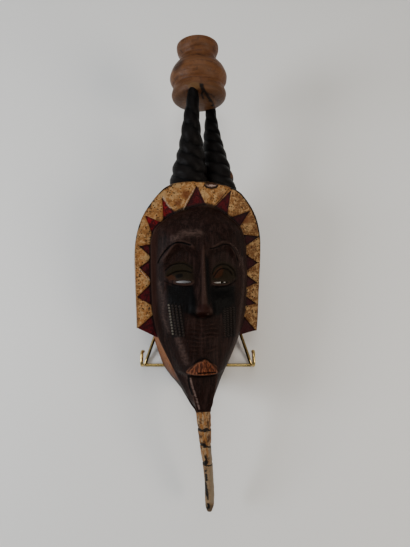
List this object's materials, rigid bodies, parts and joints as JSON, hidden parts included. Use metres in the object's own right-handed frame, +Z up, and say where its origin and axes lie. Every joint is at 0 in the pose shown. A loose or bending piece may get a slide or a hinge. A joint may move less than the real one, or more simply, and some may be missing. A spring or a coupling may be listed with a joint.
{
  "type": "carved wooden mask on wire stand",
  "caption": "Carved and painted wooden face mask with an arched toothed border, ribbed horns joined by a spool and a rod beard, resting on a low bent brass wire stand",
  "frame": {"origin": "bottom centre of the bounding box, on the table that the stand lies on", "axes": "+Z up from the table, +Y from the beard towards the spool along the length, +X to the right of a viewer who looks at the face with the beard nearest"},
  "size_m": [0.1158, 0.4356, 0.1127],
  "materials": {
    "painted_wood": "painted",
    "brass_wire": "polished"
  },
  "bodies": {
    "root": {"mask": "painted_wood", "stand": "brass_wire"}
  },
  "joints": []
}
